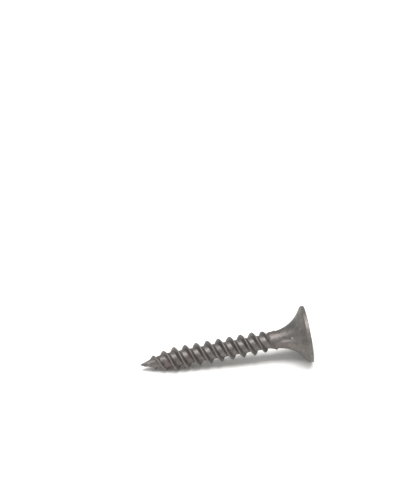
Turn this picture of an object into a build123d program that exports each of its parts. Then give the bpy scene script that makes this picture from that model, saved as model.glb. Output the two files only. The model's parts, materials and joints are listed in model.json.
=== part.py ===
# Drywall screw, 3.5 x 25 mm: bugle head, cross recess, twin-start thread, sharp point.
# All sizes are in millimetres. The screw is made upright, with its point at the origin
# and its head up, and is then laid on the floor the way it comes to rest.

import os
from math import atan2, ceil, degrees, radians, tan

from build123d import *

os.makedirs("parts", exist_ok=True)

# Overall
length = 25.0

# Head
head_diameter = 8.4
rim_thickness = 0.55
rim_chamfer = 0.1
flare_length = 4.6

# Shank between the thread and the head
shank_diameter = 2.6

# Thread
starts = 2
lead = 3.3
crest_diameter = 3.5
root_diameter = 2.15
crest_width = 0.15
flank_angle = 28.0

# Point, measured up from the tip: the core is a cone with a blunt end, and the crests rise
# in a short lead-in and a longer taper
tip_diameter = 0.24
point_half_angle = 18.3
lead_in_start = 1.1
lead_in_end = 2.2
lead_in_diameter = 2.1
taper_end = 4.7

# Run-out, measured down from the top of the head: the crests fade over a longer way
# than the grooves
crest_run_out_start = 7.8
crest_run_out_end = 4.3
groove_run_out_start = 6.1
groove_run_out_end = 5.2

# Cross recess
recess_span = 5.0
recess_wing = 1.15
recess_depth = 2.7
recess_floor_rise = 0.4
recess_floor_span = 2.7
recess_floor_wing = 0.9
recess_corner = 0.3
recess_edge = 0.06
recess_turn = 20.0

# How far the ridges reach into the core, and how far their trimming keeps off the crests
sunk_depth = 0.04
trim_clearance = 0.01

head_radius = head_diameter / 2
shank_radius = shank_diameter / 2
crest_radius = crest_diameter / 2
root_radius = root_diameter / 2
tip_radius = tip_diameter / 2
cone_slope = tan(radians(point_half_angle))
underside = length - rim_thickness
flare_start = underside - flare_length

# The seam of every turned face is kept away from the places where the ridges begin
seam_turn = 45.0
turning_plane = Plane.XZ.rotated((0, 0, seam_turn))


def core_profile():
    """Half of the screw without its ridges: point, thread root, shank, bugle flare and rim."""
    point_length = (root_radius - tip_radius) / cone_slope
    Polyline(
        (0, 0),
        (tip_radius, 0),
        (root_radius, point_length),
        (root_radius, length - groove_run_out_start),
        (shank_radius, length - groove_run_out_end),
        (shank_radius, flare_start),
    )
    TangentArc((shank_radius, flare_start), (head_radius, underside), tangent=(0, 1))
    Polyline((head_radius, underside), (head_radius, length), (0, length), (0, 0))


# Ridge: one start of the thread, swept along a helix. Its section is a tall wedge that
# reaches down to the slimmest part of the cone it stands on.
lead_in_radius = tip_radius + lead_in_start * cone_slope - sunk_depth
ridge_foot = lead_in_radius + 2 * sunk_depth
half_crest = crest_width / 2
flank_slope = tan(radians(flank_angle))
half_foot = half_crest + (crest_radius - ridge_foot) * flank_slope
ridge_start = lead_in_start - half_foot - sunk_depth
ridge_end = length - crest_run_out_end + half_foot + sunk_depth
arcs_per_turn = 3
rise = lead / arcs_per_turn

with BuildLine() as helix_arc:
    Helix(pitch=lead, height=rise, radius=root_radius, center=(0, 0, ridge_start))

helix_arcs = [
    Pos(0, 0, index * rise) * Rot(0, 0, 360 * index / arcs_per_turn) * helix_arc.edge()
    for index in range(ceil((ridge_end - ridge_start) / rise))
]

with BuildPart() as ridge:
    with BuildSketch(Plane.XZ) as wedge:
        with Locations((0, ridge_start)):
            Polygon(
                (ridge_foot, -half_foot),
                (crest_radius, -half_crest),
                (crest_radius, half_crest),
                (ridge_foot, half_foot),
                align=None,
            )
    sweep(path=helix_arcs, is_frenet=True, clean=False)

# Space that the ridges may fill: it closes in on the core at the point and at the run-out
with BuildPart() as ridge_limit:
    with BuildSketch(turning_plane):
        with BuildLine():
            Polyline(
                (0, lead_in_start),
                (lead_in_radius, lead_in_start),
                (lead_in_diameter / 2, lead_in_end),
                (crest_radius + trim_clearance, taper_end),
                (crest_radius + trim_clearance, length - crest_run_out_start),
                (shank_radius - sunk_depth, length - crest_run_out_end),
                (0, length - crest_run_out_end),
                close=True,
            )
        make_face()
    revolve(axis=Axis.Z)

with BuildPart() as trimmed_ridge:
    add(ridge.part)
    add(ridge_limit.part, clean=False, mode=Mode.INTERSECT)

# Cross recess: four tapered wings with a broken edge at the mouth, and a conical floor
recess_floor = length - recess_depth + recess_floor_rise

with BuildPart() as recess:
    for height, span, wing in (
        (recess_floor, recess_floor_span, recess_floor_wing),
        (length - recess_edge, recess_span, recess_wing),
        (length, recess_span + 2 * recess_edge, recess_wing + 2 * recess_edge),
    ):
        with BuildSketch(Plane.XY.offset(height).rotated((0, 0, recess_turn))) as cross:
            Rectangle(span, wing)
            Rectangle(wing, span)
            fillet(cross.vertices().sort_by_distance((0, 0))[:4], recess_corner)
    loft(ruled=True)
    with Locations((0, 0, recess_floor)):
        Cone(
            bottom_radius=recess_edge,
            top_radius=recess_floor_span / 2,
            height=recess_floor_rise,
            align=(Align.CENTER, Align.CENTER, Align.MAX),
        )

# The whole screw, upright
with BuildPart() as upright:
    with BuildSketch(turning_plane) as profile:
        with BuildLine():
            core_profile()
        make_face()
        chamfer(profile.vertices().group_by(Axis.X)[-1], rim_chamfer)
    revolve(axis=Axis.Z)
    for start in range(starts):
        add(trimmed_ridge.part, rotation=(0, 0, 360 * start / starts), clean=False)
    add(recess.part, mode=Mode.SUBTRACT)

# Rest: the lower edge of the rim touches the floor, and so do two neighbouring crests, the
# first one still on the taper and the next one at full height
rim_seat = underside + rim_chamfer
taper_slope = (crest_radius + trim_clearance - lead_in_diameter / 2) / (taper_end - lead_in_end)


def lean(height, radius):
    """Angle between the axis and a floor that touches the rim and the point given."""
    return atan2(head_radius - radius, rim_seat - height)


def lean_on_taper(crest):
    """The same for a crest on the taper, which touches with its upper corner."""
    rise_to_corner = half_crest + crest_radius * flank_slope
    radius = lead_in_diameter / 2 + taper_slope * (crest + rise_to_corner - lead_in_end)
    radius /= 1 + taper_slope * flank_slope
    return lean(crest + rise_to_corner - radius * flank_slope, radius)


def lean_on_next(crest):
    """The same for the crest after it, which touches with its lower corner."""
    return lean(crest + lead / starts - half_crest, crest_radius)


first_crest, too_high = lead_in_end, taper_end
for halving in range(30):
    middle = (first_crest + too_high) / 2
    if lean_on_taper(middle) > lean_on_next(middle):
        first_crest = middle
    else:
        too_high = middle

tilt = degrees(lean_on_next(first_crest))
axis_direction = Vector(1, 0, 0).rotate(Axis.Y, -tilt)
down = Vector(0, 0, -1).rotate(Axis.Y, -tilt)
seat_turn = 360 * (first_crest + lead / starts - ridge_start) / lead
thread_zero = down.rotate(Axis((0, 0, 0), axis_direction), -seat_turn)
tilted = Plane(origin=(0, 0, 0), x_dir=thread_zero, z_dir=axis_direction)
extent = upright.part.moved(tilted.location).bounding_box()
floor_centre = Vector(extent.center().X, extent.center().Y, extent.min.Z)
resting = Plane(origin=-floor_centre, x_dir=thread_zero, z_dir=axis_direction)

with BuildPart(resting) as screw:
    add(upright.part)

screw.part.label = "screw"
export_step(screw.part, "parts/screw.step")
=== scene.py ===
# One phosphated drywall screw, lying on a pale floor.
# The CAD solid carries the form; a finer mesh with rolled thread, worn edges and struck
# recess stands for it here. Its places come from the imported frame.
import json
import math
import random

import bmesh
import bpy
import numpy as np
from mathutils import Matrix, Vector


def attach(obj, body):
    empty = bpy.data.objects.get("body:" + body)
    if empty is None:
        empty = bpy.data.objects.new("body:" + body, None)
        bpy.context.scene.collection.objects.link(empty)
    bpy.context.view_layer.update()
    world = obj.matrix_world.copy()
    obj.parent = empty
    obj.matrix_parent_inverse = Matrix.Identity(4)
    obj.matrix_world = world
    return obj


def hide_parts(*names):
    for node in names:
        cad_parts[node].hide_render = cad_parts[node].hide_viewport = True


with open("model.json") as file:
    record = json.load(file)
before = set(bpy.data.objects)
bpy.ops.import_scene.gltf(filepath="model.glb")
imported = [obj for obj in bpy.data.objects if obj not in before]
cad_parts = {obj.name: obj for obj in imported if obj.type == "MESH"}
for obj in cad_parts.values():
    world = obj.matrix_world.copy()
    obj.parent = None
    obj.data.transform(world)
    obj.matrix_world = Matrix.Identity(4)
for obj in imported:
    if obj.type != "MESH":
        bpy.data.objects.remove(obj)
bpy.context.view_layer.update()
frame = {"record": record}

# Lengths below are in millimetres, along the screw from its tip or out from its axis
MM = 0.001
mounts = {mount["name"]: mount for mount in frame["record"]["mounts"]}

# Sizes that the frame gives, and the solid's length; the fine mesh keeps a hair inside them
SKIN = 0.005
SOLID_LENGTH = 25.0
LENGTH = SOLID_LENGTH - SKIN
HEAD_RADIUS = mounts["bugle_seat"]["dims"]["r_mm"] - SKIN
FLARE_LENGTH = mounts["bugle_seat"]["dims"]["length_mm"]
CREST_RADIUS = mounts["thread"]["dims"]["r_mm"] - SKIN
RECESS_DEPTH = mounts["recess"]["dims"]["length_mm"]

# Core: radii up the point, thread root and shank, and where the grooves run out
ROOT_RADIUS = 1.075
POINT_HEIGHTS = (0.0, 1.3, 2.0, 2.7, 3.9)
POINT_RADII = (0.12, 0.55, 0.72, 0.85, ROOT_RADIUS)
SHANK_RADIUS = 1.3
GROOVE_FADE = (18.8, 19.85)

# Rim, with a raised face inside a narrow band
RIM_THICKNESS = 0.60
FLARE_ROUND = 0.13
FACE_ROUND = 0.1
BAND_WIDTH = 0.34
BAND_STEP = 0.02
BAND_SLOPE = 0.06

# Bugle flare: an arc that leaves the shank without a bend
UNDERSIDE = LENGTH - RIM_THICKNESS
FLARE_START = UNDERSIDE - FLARE_LENGTH
FLARE_WIDTH = HEAD_RADIUS - SHANK_RADIUS
FLARE_ARC = (FLARE_LENGTH**2 + FLARE_WIDTH**2) / (2 * FLARE_WIDTH)

# Thread: two starts that wind together, so that crests are half a lead apart. The envelope
# is how far out the crests reach, by height.
LEAD = 3.3
PITCH = LEAD / 2
CREST_HALF_WIDTH = 0.065
CREST_ROUND = 0.09
FLANK_SLOPE = math.tan(math.radians(28))
ROOT_FILLET = 0.28
TOUCHING_CREST = 5.5103
ENVELOPE_HEIGHTS = (0.0, 1.1, 2.0, 2.7, 4.7, 17.2, 20.7, 21.3)
ENVELOPE_RADII = (-0.6, 0.42, 1.14, 1.27, CREST_RADIUS, CREST_RADIUS, 1.27, 1.0)
THREAD_END = 21.1

# Cross recess, turned as the solid's is. Its broken edge is given as depths and how far each
# spreads past the walls.
RECESS_SPAN = 5.0
RECESS_WING = 1.15
RECESS_FLOOR_SPAN = 2.7
RECESS_FLOOR_WING = 0.9
RECESS_FLOOR_RISE = 0.4
RECESS_FLOOR_STEP = 0.02
RECESS_WALL = RECESS_DEPTH - RECESS_FLOOR_RISE
RECESS_CORNER = 0.3
RECESS_TURN = math.radians(56.3)
RECESS_EDGE = ((0.0, 0.08), (0.012, 0.05), (0.035, 0.02), (0.08, 0.0))

# Unevenness: seed, number of waves, most turns round the screw, fastest change along it. It
# sets in above the very point.
DENTS = (3, 14, 5, 9.0)
DENT_DEPTH = 0.004
GRAIN = (8, 24, 16, 30.0)
GRAIN_DEPTH = 0.002
NICKS = (21, 18, 9, 14.0)
NICK_DEPTH = 0.012
UNEVEN_FROM = (0.2, 1.5)

# Facets of the pinched point: how deep, how many round the screw, and phase. They fade out
# between two heights.
FACETS = ((0.035, 2, 0.9), (0.025, 4, -0.5))
PINCHED = (0.5, 1.7)

# A place on the surface: degrees up from the front, spread in degrees, distance from the
# tip, and reach along the screw. A mark is how far it swells out, and its place.
BURR = (0.11, -48, 34, 0.58, 0.26)
LAST_CREST_LUMP = (0.12, -56, 30, 17.96, 0.12)
LAST_CREST_BACK = (0.14, 124, 34, 18.02, 0.13)
RUN_OUT_COLLAR = (0.15, 124, 40, 19.2, 0.36)
RUN_OUT_DROP = (0.10, -55, 16, 19.95, 0.16)
FLARE_HOLLOW = (-0.09, 34, 8, 21.6, 0.75)
MARKS = (BURR, LAST_CREST_LUMP, LAST_CREST_BACK, RUN_OUT_COLLAR, RUN_OUT_DROP, FLARE_HOLLOW)

# Die seam on the flare: a line that climbs a little round the screw, and a dot above its end
SEAM_DEPTH = 0.12
SEAM_RISE = 19.5
SEAM_CLIMB = 2.5
SEAM_LEVEL = 21.9
SEAM_LINE = (3.6, 21.6, 1.05)
SEAM_DOT = (1.3, 30, 4.5, 22.3, 0.16)

# Fold in the groove beside the last crest
FOLD_DEPTH = 0.20
FOLD_WIDTH = 0.08
FOLD_PLACE = (45, 38, 18.75, 0.50)

# Brown stains, partly painted shade: how strong, and their places
STAIN_AND_SHADE_PLACES = (
    (1.0, -8, 34, 20.5, 0.9),
    # These two are also painted shade, darkening the upper side near the point
    (1.0, 15, 60, 3.9, 1.3),
    (1.0, 5, 45, 7.2, 1.1),
    (0.6, 200, 40, 9.0, 2.5),
)

# Wear: how strong it is, and the offsets, heights or radii between which it fades
SEAM_WEAR = 1.7
RIM_WEAR = 0.2
BAND_WEAR = 0.05
CREST_WEAR_OFFSET = (0.03, 0.11)
CREST_WEAR_START = (1.2, 2.4)
CREST_WEAR_END = (17.6, 18.6)
CREST_WEAR_RADIUS = (0.9, 1.3)
RIM_WEAR_RADIUS = (HEAD_RADIUS - 0.12, HEAD_RADIUS - 0.02)
BAND_WEAR_RADIUS = (HEAD_RADIUS - BAND_WIDTH - 0.05, HEAD_RADIUS - BAND_WIDTH + 0.1)
BAND_WEAR_HEIGHT = (LENGTH - 0.2, LENGTH - 0.1)

# Painted shade: full at a depth in the recess, and in a narrow line along the feet of the ridges
FULL_SHADE_DEPTH = 0.5
FOOT_SHADE = 0.30
FOOT_OFFSET = 0.37
FOOT_WIDTH = 0.11
FOOT_START = (1.5, 3.0)
FOOT_END = (18.5, 20.0)

# Mesh density. A ring has as many points as the outline of the cross: per quarter the end of
# a wing, two sides and an inner corner.
END_STEPS = 8
SIDE_STEPS = 14
CORNER_STEPS = 12
COLUMNS = 4 * (END_STEPS + 2 * SIDE_STEPS + CORNER_STEPS)
ROW_OFFSETS = (-0.74, -0.64, -0.55, -0.48, -0.41, -0.34, -0.27, -0.20, -0.14, -0.10, -0.06, -0.03,
               0.0, 0.03, 0.06, 0.10, 0.14, 0.20, 0.27, 0.34, 0.41, 0.48, 0.55, 0.64, 0.74, 0.825)
LOWEST_ROW = 0.12
HIGHEST_ROW = THREAD_END + 0.1
TIP_RINGS = ((0.07, 0.97), (0.035, 0.88), (0.012, 0.72), (0.003, 0.5), (0.0, 0.25))
SHANK_RINGS = 64
ROUND_STEPS = 6
FACE_RINGS = (0.12, 0.3, 0.5, 0.7, 0.88)
WALL_RINGS = 12
FLOOR_RINGS = (1.0, 0.85, 0.7, 0.55, 0.4, 0.25, 0.1)
SHARP_ANGLE = math.radians(50)

# Noise: waves a millimetre, detail, roughness and, for some, distortion. The specks have
# their waves further down. Stops are values of the noise, some with the grey each becomes.
BLOTCHES = (0.9, 5, 0.55, 0.6)
WARMTH = (0.45, 3, 0.5, 0.3)
WARMTH_STOPS = ((0.45, 0.0), (0.75, 1.0))
PATCHES = (1.6, 4, 0.6, 0.5)
PATCH_STOPS = ((0.32, 0.2), (0.60, 0.9))
SPECK_NOISE = (3, 0.7)
SPECK_STOPS = (0.35, 0.65)
POLISH = (2.2, 4, 0.6)
POLISH_STOPS = (0.3, 0.7)
CRYSTALS = (26.0, 4, 0.75)

# Coating: linear colours from dark to light, what lies over them, and specks by their waves
# a millimetre and how far they darken and lighten
COATING = ((0.30, (0.134, 0.128, 0.120)), (0.52, (0.173, 0.165, 0.155)), (0.74, (0.218, 0.208, 0.196)))
WARM_COATING = (0.206, 0.175, 0.165, 1)
# Stain colour, darkened to stand also for painted shade near the point
STAIN_AND_SHADE_COLOUR = (0.150, 0.116, 0.110, 1)
BARE_STEEL = (0.281, 0.272, 0.264, 1)
BARE_SHARE = 0.45
# Painted shade: the dark grey laid deep in the recess and along the feet of the ridges, and how much
# of it
PAINTED_SHADE_COLOUR = (0.045, 0.043, 0.042, 1)
PAINTED_SHADE_SHARE = 0.8
SPECKS = ((14.0, 0.78, 1.14), (4.5, 0.84, 1.12))
METALLIC = 0.85
SMOOTHEST = 0.47
ROUGHEST = 0.58
CRYSTAL_STRENGTH = 0.35
CRYSTAL_HEIGHT = 0.02

# Floor, in metres, and its colour
FLOOR_HALF = 3.0
FLOOR_COLOUR = (0.870, 0.858, 0.838)
FLOOR_ROUGHNESS = 0.9

# Camera: the photograph's viewing angle, with the screw's tip on its own pixel. What it sees
# lies between two distances in metres.
IMAGE = (400, 500)
TIP_PIXEL = (140.9, 365.1)
PIXELS_PER_MM = 6.84
VIEW_AZIMUTH = math.radians(-7.96)
VIEW_ELEVATION = math.radians(34)
CAMERA_DISTANCE = 303.0
CAMERA_RANGE = (0.01, 10.0)
SENSOR = 36.0

# Softboxes: place and size in metres, and watts
SOFTBOXES = {
    "overhead": ((0.0, -0.45, 3.0), (2.6, 1.4), 100.0),
    "left": ((-1.8, -0.5, 2.3), (0.8, 0.8), 20.0),
    "right": ((1.8, -0.6, 2.3), (0.8, 0.8), 4.0),
}

# Sky: even grey, and brighter at the horizon
SKY_STOPS = ((0.0, 1.0), (0.03, 0.57), (1.0, 0.57))

# The screw's own axes in the row frame: the crest that touches the floor points straight down
axis = Vector(mounts["recess"]["axis"]).normalized()
tip = Vector(mounts["recess"]["pos_m"]) - axis * SOLID_LENGTH * MM
down = (Vector((0, 0, -1)) - axis * Vector((0, 0, -1)).dot(axis)).normalized()
crest_turn = -2 * math.pi * TOUCHING_CREST / LEAD
zero = Matrix.Rotation(crest_turn, 3, axis) @ down
side = axis.cross(zero)
front = Vector((0, -1, 0))
FRONT = math.atan2(front.dot(side), front.dot(zero))


def smooth_max(a, b, width):
    """The larger of two values, rounded where they meet."""
    h = np.clip(width - np.abs(a - b), 0, None) / width
    return np.maximum(a, b) + h * h * width / 4


def smooth_step(value, low, high):
    """0 below low, 1 above high, and an even change between them."""
    t = np.clip((value - low) / (high - low), 0, 1)
    return t * t * (3 - 2 * t)


def ripples(seed, count, turns, rate):
    """A gentle unevenness over angle and height: a few crossing waves."""
    draw = random.Random(seed)
    waves = []
    for index in range(count):
        waves.append((draw.randint(0, turns), draw.uniform(-rate, rate), draw.uniform(0, 2 * math.pi)))
    return lambda angle, height: sum(
        np.sin(k * angle + w * height + phase) for k, w, phase in waves
    ) / math.sqrt(count)


dents = ripples(*DENTS)
grain = ripples(*GRAIN)
nicks = ripples(*NICKS)


def flare_radius(height):
    """Bugle curve: tangent to the shank, and steepest at the rim."""
    above = np.clip(height - FLARE_START, 0, FLARE_LENGTH)
    return SHANK_RADIUS + FLARE_ARC - np.sqrt(FLARE_ARC**2 - above**2)


def core_radius(height):
    """The screw without its ridges: point, thread root, shank and flare."""
    point_and_root = np.interp(height, POINT_HEIGHTS, POINT_RADII)
    grown = point_and_root + (SHANK_RADIUS - ROOT_RADIUS) * smooth_step(height, *GROOVE_FADE)
    return np.where(height < FLARE_START, grown, flare_radius(height))


def crest_offset(angle, height):
    """Distance along the screw from the nearest crest."""
    away = height - LEAD * angle / (2 * math.pi)
    return (away + PITCH / 2) % PITCH - PITCH / 2


def mark(angle, height, rise, spread, at, reach):
    """How near each point is to a place on the surface: 1 in its middle, fading softly to 0."""
    away = (angle - FRONT + np.radians(rise) + math.pi) % (2 * math.pi) - math.pi
    return np.exp(-((away / math.radians(spread)) ** 2) - ((height - at) / reach) ** 2)


def all_marks(angle, height, marks):
    """The sum of several marks, each with its size first."""
    return sum(size * mark(angle, height, *where) for size, *where in marks)


def die_seam(angle, height):
    """The line and the dot on the flare."""
    rise = SEAM_RISE + SEAM_CLIMB * (height - SEAM_LEVEL)
    return mark(angle, height, rise, *SEAM_LINE) + all_marks(angle, height, (SEAM_DOT,))


def facets(angle, height):
    """What the pinching dies leave at the point."""
    away = angle - FRONT
    waves = sum(depth * np.cos(count * away + phase) for depth, count, phase in FACETS)
    return (1 - smooth_step(height, *PINCHED)) * waves


def fold(angle, height):
    """How deep the fold beside the last crest cuts in."""
    beside_crest = np.exp(-(((crest_offset(angle, height) - FOLD_WIDTH) / FOLD_WIDTH) ** 2))
    return FOLD_DEPTH * beside_crest * mark(angle, height, *FOLD_PLACE)


def body_radius(angle, height):
    """The whole screw up to the rim: core, ridges, unevenness and the marks of making."""
    envelope = np.interp(height, ENVELOPE_HEIGHTS, ENVELOPE_RADII)
    envelope = envelope + NICK_DEPTH * (nicks(angle, height) - 1)
    fall = np.abs(crest_offset(angle, height)) - CREST_HALF_WIDTH
    ridge = envelope - smooth_max(fall, np.zeros_like(fall), CREST_ROUND) / FLANK_SLOPE
    core = core_radius(height)
    radius = np.where(height < THREAD_END, smooth_max(core, ridge, ROOT_FILLET), core)
    uneven = DENT_DEPTH * dents(angle, height) + GRAIN_DEPTH * grain(angle, height)
    radius = radius + smooth_step(height, *UNEVEN_FROM) * uneven
    radius = radius + facets(angle, height) - fold(angle, height)
    return radius + all_marks(angle, height, MARKS) + SEAM_DEPTH * die_seam(angle, height)


def add_ring(points, radius, angles, height):
    """Adds one ring of points and gives their numbers."""
    first = len(points)
    for r, angle in zip(np.broadcast_to(radius, angles.shape), angles):
        points.append((r * math.cos(angle), r * math.sin(angle), height))
    return list(range(first, first + len(angles)))


def add_outline(points, outline, heights):
    """Adds one ring of points along an outline and gives their numbers."""
    first = len(points)
    for (x, y), height in zip(outline, np.broadcast_to(heights, len(outline))):
        points.append((x, y, height))
    return list(range(first, first + len(outline)))


def bridge(faces, lower, upper):
    """Quads between two rings with as many points. Gives the upper ring."""
    for i in range(len(lower)):
        j = (i + 1) % len(lower)
        faces.append((lower[i], lower[j], upper[j], upper[i]))
    return upper


def threaded_part(points, faces, angles, low, high):
    """The stretch with the thread. Its rows follow the helix, so that crests stay crisp.

    Rows are cut off level at both ends. Gives the two end rings.
    """
    turns_low = math.floor((low - LEAD) / PITCH) - 1
    turns_high = math.ceil(high / PITCH) + 1
    heights = np.add.outer(np.arange(turns_low, turns_high) * PITCH, ROW_OFFSETS).ravel()
    rows_a_lead = 2 * len(ROW_OFFSETS)
    end_low = add_ring(points, body_radius(angles, np.full(COLUMNS, low)), angles, low)
    end_high = add_ring(points, body_radius(angles, np.full(COLUMNS, high)), angles, high)
    numbers = np.zeros((len(heights), COLUMNS), int)
    for column, angle in enumerate(angles):
        climbed = heights + LEAD * angle / (2 * math.pi)
        radii = body_radius(np.full_like(climbed, angle), climbed)
        for row, (height, radius) in enumerate(zip(climbed, radii)):
            if height <= low:
                numbers[row, column] = end_low[column]
            elif height >= high:
                numbers[row, column] = end_high[column]
            else:
                numbers[row, column] = len(points)
                points.append((radius * math.cos(angle), radius * math.sin(angle), height))
    for row in range(len(heights) - 1):
        for column in range(COLUMNS):
            right, lift = (column + 1, 0) if column + 1 < COLUMNS else (0, rows_a_lead)
            if row + 1 + lift >= len(heights):
                continue
            corners = (
                numbers[row, column],
                numbers[row + lift, right],
                numbers[row + 1 + lift, right],
                numbers[row + 1, column],
            )
            kept = [c for i, c in enumerate(corners) if c != corners[i - 1]]
            if len(set(kept)) >= 3:
                faces.append(tuple(int(c) for c in kept))
    return end_low, end_high


def blunt_tip(points, faces, angles, ring):
    """The rounded end of the point, below the lowest ring of the thread."""
    for height, share in TIP_RINGS:
        radius = share * body_radius(angles, np.full(COLUMNS, height))
        lower = add_ring(points, radius, angles, height)
        bridge(faces, lower, ring)
        ring = lower
    points.append((0, 0, 0))
    for i in range(COLUMNS):
        faces.append((len(points) - 1, ring[(i + 1) % COLUMNS], ring[i]))


def rim_profile():
    """Radius and height round the rim, from the end of the flare to the raised face."""
    profile = []
    quarter = [math.pi / 2 * i / ROUND_STEPS for i in range(ROUND_STEPS + 1)]
    for turn in quarter:
        height = UNDERSIDE + FLARE_ROUND * (1 - math.cos(turn))
        profile.append((HEAD_RADIUS - FLARE_ROUND * (1 - math.sin(turn)), height))
    for turn in quarter:
        height = LENGTH - BAND_STEP - FACE_ROUND * (1 - math.sin(turn))
        profile.append((HEAD_RADIUS - FACE_ROUND * (1 - math.cos(turn)), height))
    profile.append((HEAD_RADIUS - BAND_WIDTH, LENGTH - BAND_STEP))
    profile.append((HEAD_RADIUS - BAND_WIDTH - BAND_SLOPE, LENGTH))
    return profile


def shank_and_rim(points, faces, angles, ring):
    """From the highest ring of the thread to the head's face."""
    # The last two rings of the flare make way for the rounding of the rim
    for height in np.linspace(HIGHEST_ROW, UNDERSIDE, SHANK_RINGS)[1:-2]:
        radius = body_radius(angles, np.full(COLUMNS, height))
        ring = bridge(faces, ring, add_ring(points, radius, angles, height))
    for radius, height in rim_profile():
        ring = bridge(faces, ring, add_ring(points, radius, angles, height))
    return ring


def cross_outline(span, wing):
    """A cross with rounded inner corners, counted out per quarter and turned to its place."""
    half_span = span / 2
    half_wing = wing / 2
    corner = RECESS_CORNER
    side_length = half_wing + corner - half_span
    quarter = []
    for i in range(END_STEPS):
        quarter.append((half_span, -half_wing + wing * i / END_STEPS))
    for i in range(SIDE_STEPS):
        quarter.append((half_span + side_length * i / SIDE_STEPS, half_wing))
    for i in range(CORNER_STEPS):
        turn = math.pi / 2 * i / CORNER_STEPS
        middle = half_wing + corner
        quarter.append((middle - corner * math.sin(turn), middle - corner * math.cos(turn)))
    for i in range(SIDE_STEPS):
        quarter.append((half_wing, half_wing + corner - side_length * i / SIDE_STEPS))
    outline = []
    for turn in range(4):
        c = round(math.cos(turn * math.pi / 2))
        s = round(math.sin(turn * math.pi / 2))
        outline += [(c * x - s * y, s * x + c * y) for x, y in quarter]
    c = math.cos(RECESS_TURN)
    s = math.sin(RECESS_TURN)
    return np.array(outline) @ np.array(((c, s), (-s, c)))


def cross_at(depth, spread=0.0):
    """The recess's outline at a depth below the face, spread where its edge is broken."""
    share = depth / RECESS_WALL
    span = RECESS_SPAN + (RECESS_FLOOR_SPAN - RECESS_SPAN) * share + 2 * spread
    wing = RECESS_WING + (RECESS_FLOOR_WING - RECESS_WING) * share + 2 * spread
    return cross_outline(span, wing)


def head_face(points, faces, ring):
    """The flat face, from the rim in to the mouth of the recess."""
    mouth = cross_at(*RECESS_EDGE[0])
    rim = np.array([points[i][:2] for i in ring])
    first = round(np.arctan2(mouth[0][1], mouth[0][0]) % (2 * math.pi) / (2 * math.pi) * COLUMNS)
    rim = np.roll(rim, -first, axis=0)
    ring = ring[first:] + ring[:first]
    for share in FACE_RINGS:
        ring = bridge(faces, ring, add_outline(points, rim + (mouth - rim) * share, LENGTH))
    return ring


def recess(points, faces, ring):
    """Broken edge, tapered walls and a conical floor."""
    for depth, spread in RECESS_EDGE:
        ring = bridge(faces, ring, add_outline(points, cross_at(depth, spread), LENGTH - depth))
    for depth in np.linspace(RECESS_EDGE[-1][0], RECESS_WALL, WALL_RINGS)[1:]:
        ring = bridge(faces, ring, add_outline(points, cross_at(depth), LENGTH - depth))
    for share in FLOOR_RINGS:
        outline = cross_at(RECESS_WALL) * share
        fall = np.clip(1 - np.hypot(*outline.T) / (RECESS_FLOOR_SPAN / 2), 0, 1)
        sunk = RECESS_FLOOR_STEP + (RECESS_FLOOR_RISE - RECESS_FLOOR_STEP) * fall
        ring = bridge(faces, ring, add_outline(points, outline, LENGTH - RECESS_WALL - sunk))
    points.append((0, 0, LENGTH - RECESS_DEPTH))
    for i in range(COLUMNS):
        faces.append((ring[i], ring[(i + 1) % COLUMNS], len(points) - 1))


def screw_mesh():
    """The whole outer surface, upright with the tip at the origin.

    Gives its points, its faces and the number of the recess's first point.
    """
    points = []
    faces = []
    angles = np.arange(COLUMNS) * 2 * math.pi / COLUMNS
    lowest, ring = threaded_part(points, faces, angles, LOWEST_ROW, HIGHEST_ROW)
    blunt_tip(points, faces, angles, lowest)
    ring = shank_and_rim(points, faces, angles, ring)
    ring = head_face(points, faces, ring)
    recess_from = len(points)
    recess(points, faces, ring)
    return np.array(points, float), faces, recess_from


def place(local):
    """From the screw's own millimetres to the row frame in metres."""
    turned = np.outer(local[:, 0], zero) + np.outer(local[:, 1], side) + np.outer(local[:, 2], axis)
    return turned * MM + np.array(tip)


def wear(angle, height, radius):
    """How far each point is rubbed bare: most on the crests and the die seam."""
    on_crest = 1 - smooth_step(np.abs(crest_offset(angle, height)), *CREST_WEAR_OFFSET)
    on_crest = on_crest * smooth_step(height, *CREST_WEAR_START)
    on_crest = on_crest * (1 - smooth_step(height, *CREST_WEAR_END))
    on_crest = on_crest * smooth_step(radius, *CREST_WEAR_RADIUS)
    on_seam = die_seam(angle, height) * (height < UNDERSIDE)
    on_rim = smooth_step(radius, *RIM_WEAR_RADIUS) * smooth_step(height, FLARE_START, UNDERSIDE)
    on_band = smooth_step(radius, *BAND_WEAR_RADIUS) * smooth_step(height, *BAND_WEAR_HEIGHT)
    return np.maximum.reduce((on_crest, SEAM_WEAR * on_seam, RIM_WEAR * on_rim, BAND_WEAR * on_band))


def painted_shade(angle, height, in_recess):
    """How dark each point is with painted shade: deep in the recess, and at the feet of the ridges."""
    deep = np.where(in_recess, np.clip((LENGTH - height) / FULL_SHADE_DEPTH, 0, 1), 0)
    from_foot = np.abs(crest_offset(angle, height)) - FOOT_OFFSET
    at_foot = np.exp(-((from_foot / FOOT_WIDTH) ** 2))
    at_foot = at_foot * smooth_step(height, *FOOT_START) * (1 - smooth_step(height, *FOOT_END))
    return np.maximum(deep, FOOT_SHADE * at_foot)


def add_values(mesh, name, values):
    """Keeps one number per point on the mesh, for the material."""
    attribute = mesh.attributes.new(name, "FLOAT", "POINT")
    attribute.data.foreach_set("value", values.astype(np.float32))


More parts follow.
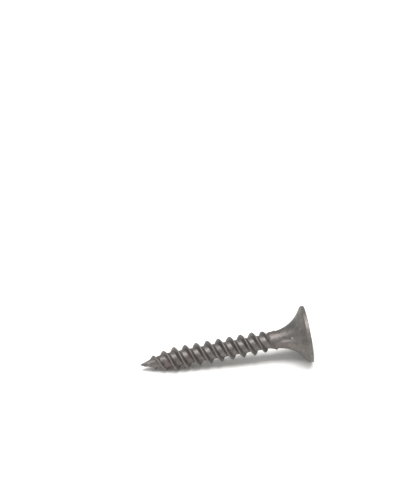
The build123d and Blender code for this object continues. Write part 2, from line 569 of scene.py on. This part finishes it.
def make_screw():
    """The screw as one object, with the values that its material reads."""
    local, faces, recess_from = screw_mesh()
    mesh = bpy.data.meshes.new("drywall_screw")
    mesh.from_pydata(place(local).tolist(), [], faces)
    work = bmesh.new()
    work.from_mesh(mesh)
    bmesh.ops.recalc_face_normals(work, faces=work.faces)
    work.to_mesh(mesh)
    work.free()
    mesh.validate()
    mesh.shade_smooth()
    mesh.set_sharp_from_angle(angle=SHARP_ANGLE)

    angle = np.arctan2(local[:, 1], local[:, 0]) % (2 * math.pi)
    height = local[:, 2]
    radius = np.hypot(local[:, 0], local[:, 1])
    add_values(mesh, "wear", wear(angle, height, radius))
    # Painted shade deep in the recess and along the feet of the ridges
    add_values(mesh, "painted_shade", painted_shade(angle, height, np.arange(len(local)) >= recess_from))
    # Stains, partly painted shade on the upper side near the point
    add_values(mesh, "stain_and_shade", all_marks(angle, height, STAIN_AND_SHADE_PLACES))
    along = mesh.attributes.new("screw_place", "FLOAT_VECTOR", "POINT")
    along.data.foreach_set("vector", local.astype(np.float32).ravel())
    screw = bpy.data.objects.new("drywall_screw", mesh)
    bpy.context.scene.collection.objects.link(screw)
    return screw


def feed(links, socket, value):
    """Links a socket to another one, or sets it to a plain value."""
    if isinstance(value, bpy.types.NodeSocket):
        links.new(value, socket)
    else:
        socket.default_value = value


def point_value(nodes, name, output="Fac"):
    """What the mesh keeps for each point under a name."""
    node = nodes.new("ShaderNodeAttribute")
    node.attribute_name = name
    return node.outputs[output]


def times(nodes, links, first, second):
    """The product of two values."""
    node = nodes.new("ShaderNodeMath")
    node.operation = "MULTIPLY"
    feed(links, node.inputs[0], first)
    feed(links, node.inputs[1], second)
    return node.outputs[0]


def noise(nodes, links, place_socket, scale, detail, roughness, distortion=0.0):
    """Uneven values, from 0 to 1."""
    node = nodes.new("ShaderNodeTexNoise")
    node.inputs["Scale"].default_value = scale
    node.inputs["Detail"].default_value = detail
    node.inputs["Roughness"].default_value = roughness
    node.inputs["Distortion"].default_value = distortion
    links.new(place_socket, node.inputs["Vector"])
    return node.outputs["Fac"]


def ramp(nodes, links, value, *stops):
    """Colours between stops, each a position and a colour."""
    node = nodes.new("ShaderNodeValToRGB")
    elements = node.color_ramp.elements
    while len(elements) < len(stops):
        elements.new(0.5)
    for element, (position, colour) in zip(elements, stops):
        element.position = position
        element.color = (*colour, 1)
    links.new(value, node.inputs["Fac"])
    return node.outputs["Color"]


def grey_ramp(nodes, links, value, *stops):
    """Greys between stops, each a position and a grey."""
    return ramp(nodes, links, value, *[(position, (grey, grey, grey)) for position, grey in stops])


def mix_colour(nodes, links, factor, first, second, mode="MIX"):
    """The second colour laid over the first, as strongly as the factor says."""
    node = nodes.new("ShaderNodeMix")
    node.data_type = "RGBA"
    node.blend_type = mode
    feed(links, node.inputs["Factor"], factor)
    feed(links, node.inputs["A"], first)
    feed(links, node.inputs["B"], second)
    return node.outputs["Result"]


def coating_colour(nodes, links, spot):
    """Blotched grey, faintly warm, with stains (partly painted shade), specks, rubbed edges and
    painted shade laid over it.
    """
    blotches = ramp(nodes, links, noise(nodes, links, spot, *BLOTCHES), *COATING)
    warmth = grey_ramp(nodes, links, noise(nodes, links, spot, *WARMTH), *WARMTH_STOPS)
    colour = mix_colour(nodes, links, warmth, blotches, WARM_COATING)
    patches = grey_ramp(nodes, links, noise(nodes, links, spot, *PATCHES), *PATCH_STOPS)
    # Stains, partly painted shade on the upper side near the point
    stained_and_shaded = times(nodes, links, point_value(nodes, "stain_and_shade"), patches)
    colour = mix_colour(nodes, links, stained_and_shaded, colour, STAIN_AND_SHADE_COLOUR)
    for scale, low, high in SPECKS:
        specks = noise(nodes, links, spot, scale, *SPECK_NOISE)
        specks = grey_ramp(nodes, links, specks, *zip(SPECK_STOPS, (low, high)))
        colour = mix_colour(nodes, links, 1.0, colour, specks, "MULTIPLY")
    rubbed = times(nodes, links, point_value(nodes, "wear"), BARE_SHARE)
    colour = mix_colour(nodes, links, rubbed, colour, BARE_STEEL)
    # Painted shade, darkest deep in the recess and along the feet of the ridges
    shaded = times(nodes, links, point_value(nodes, "painted_shade"), PAINTED_SHADE_SHARE)
    return mix_colour(nodes, links, shaded, colour, PAINTED_SHADE_COLOUR)


def phosphate():
    """Matt grey phosphate on steel: blotched, finely crystalline, lighter where rubbed."""
    material = bpy.data.materials.new("phosphated_steel")
    material.use_nodes = True
    nodes = material.node_tree.nodes
    links = material.node_tree.links
    shader = nodes["Principled BSDF"]
    spot = point_value(nodes, "screw_place", "Vector")
    links.new(coating_colour(nodes, links, spot), shader.inputs["Base Color"])

    rough = nodes.new("ShaderNodeMapRange")
    rough.inputs["From Min"].default_value = POLISH_STOPS[0]
    rough.inputs["From Max"].default_value = POLISH_STOPS[1]
    rough.inputs["To Min"].default_value = SMOOTHEST
    rough.inputs["To Max"].default_value = ROUGHEST
    links.new(noise(nodes, links, spot, *POLISH), rough.inputs["Value"])
    links.new(rough.outputs["Result"], shader.inputs["Roughness"])
    shader.inputs["Metallic"].default_value = METALLIC

    crystals = nodes.new("ShaderNodeBump")
    crystals.inputs["Strength"].default_value = CRYSTAL_STRENGTH
    crystals.inputs["Distance"].default_value = CRYSTAL_HEIGHT * MM
    links.new(noise(nodes, links, spot, *CRYSTALS), crystals.inputs["Height"])
    links.new(crystals.outputs["Normal"], shader.inputs["Normal"])
    return material


def pale_floor():
    material = bpy.data.materials.new("pale_floor")
    material.use_nodes = True
    shader = material.node_tree.nodes["Principled BSDF"]
    shader.inputs["Base Color"].default_value = (*FLOOR_COLOUR, 1)
    shader.inputs["Roughness"].default_value = FLOOR_ROUGHNESS
    return material


def make_floor():
    half = FLOOR_HALF
    corners = [(-half, -half, 0), (half, -half, 0), (half, half, 0), (-half, half, 0)]
    mesh = bpy.data.meshes.new("floor")
    mesh.from_pydata(corners, [], [range(4)])
    floor = bpy.data.objects.new("floor", mesh)
    bpy.context.scene.collection.objects.link(floor)
    mesh.materials.append(pale_floor())
    return floor


def make_camera():
    right = Vector((math.cos(VIEW_AZIMUTH), math.sin(VIEW_AZIMUTH), 0))
    level = Vector((-right.y, right.x, 0))
    ahead = level * math.cos(VIEW_ELEVATION) - Vector((0, 0, math.sin(VIEW_ELEVATION)))
    up = right.cross(ahead)
    across = (IMAGE[0] / 2 - TIP_PIXEL[0]) / PIXELS_PER_MM
    above = (TIP_PIXEL[1] - IMAGE[1] / 2) / PIXELS_PER_MM
    data = bpy.data.cameras.new("camera")
    data.sensor_width = SENSOR
    data.lens = SENSOR * PIXELS_PER_MM * CAMERA_DISTANCE / IMAGE[1]
    data.clip_start, data.clip_end = CAMERA_RANGE
    camera = bpy.data.objects.new("camera", data)
    camera.rotation_mode = "QUATERNION"
    camera.rotation_quaternion = Matrix((right, up, -ahead)).transposed().to_quaternion()
    camera.location = tip + (right * across + up * above - ahead * CAMERA_DISTANCE) * MM
    bpy.context.scene.collection.objects.link(camera)
    bpy.context.scene.camera = camera


def softbox(name, place_from, size, watts):
    """A rectangular area light that faces the middle of the screw."""
    data = bpy.data.lights.new(name, "AREA")
    data.shape = "RECTANGLE"
    data.size, data.size_y = size
    data.energy = watts
    lamp = bpy.data.objects.new(name, data)
    lamp.location = place_from
    lamp.rotation_mode = "QUATERNION"
    lamp.rotation_quaternion = (-Vector(place_from)).to_track_quat("-Z", "Y")
    bpy.context.scene.collection.objects.link(lamp)


def make_sky():
    world = bpy.data.worlds.new("studio")
    world.use_nodes = True
    nodes = world.node_tree.nodes
    links = world.node_tree.links
    direction = nodes.new("ShaderNodeTexCoord")
    split = nodes.new("ShaderNodeSeparateXYZ")
    links.new(direction.outputs["Generated"], split.inputs["Vector"])
    sky = grey_ramp(nodes, links, split.outputs["Z"], *SKY_STOPS)
    links.new(sky, nodes["Background"].inputs["Color"])
    bpy.context.scene.world = world


screw = make_screw()
screw.data.materials.append(phosphate())
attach(screw, "root")
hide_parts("screw")

make_floor()
make_camera()
for name, (place_from, size, watts) in SOFTBOXES.items():
    softbox(name, place_from, size, watts)
make_sky()
bpy.context.scene.view_settings.view_transform = "Standard"
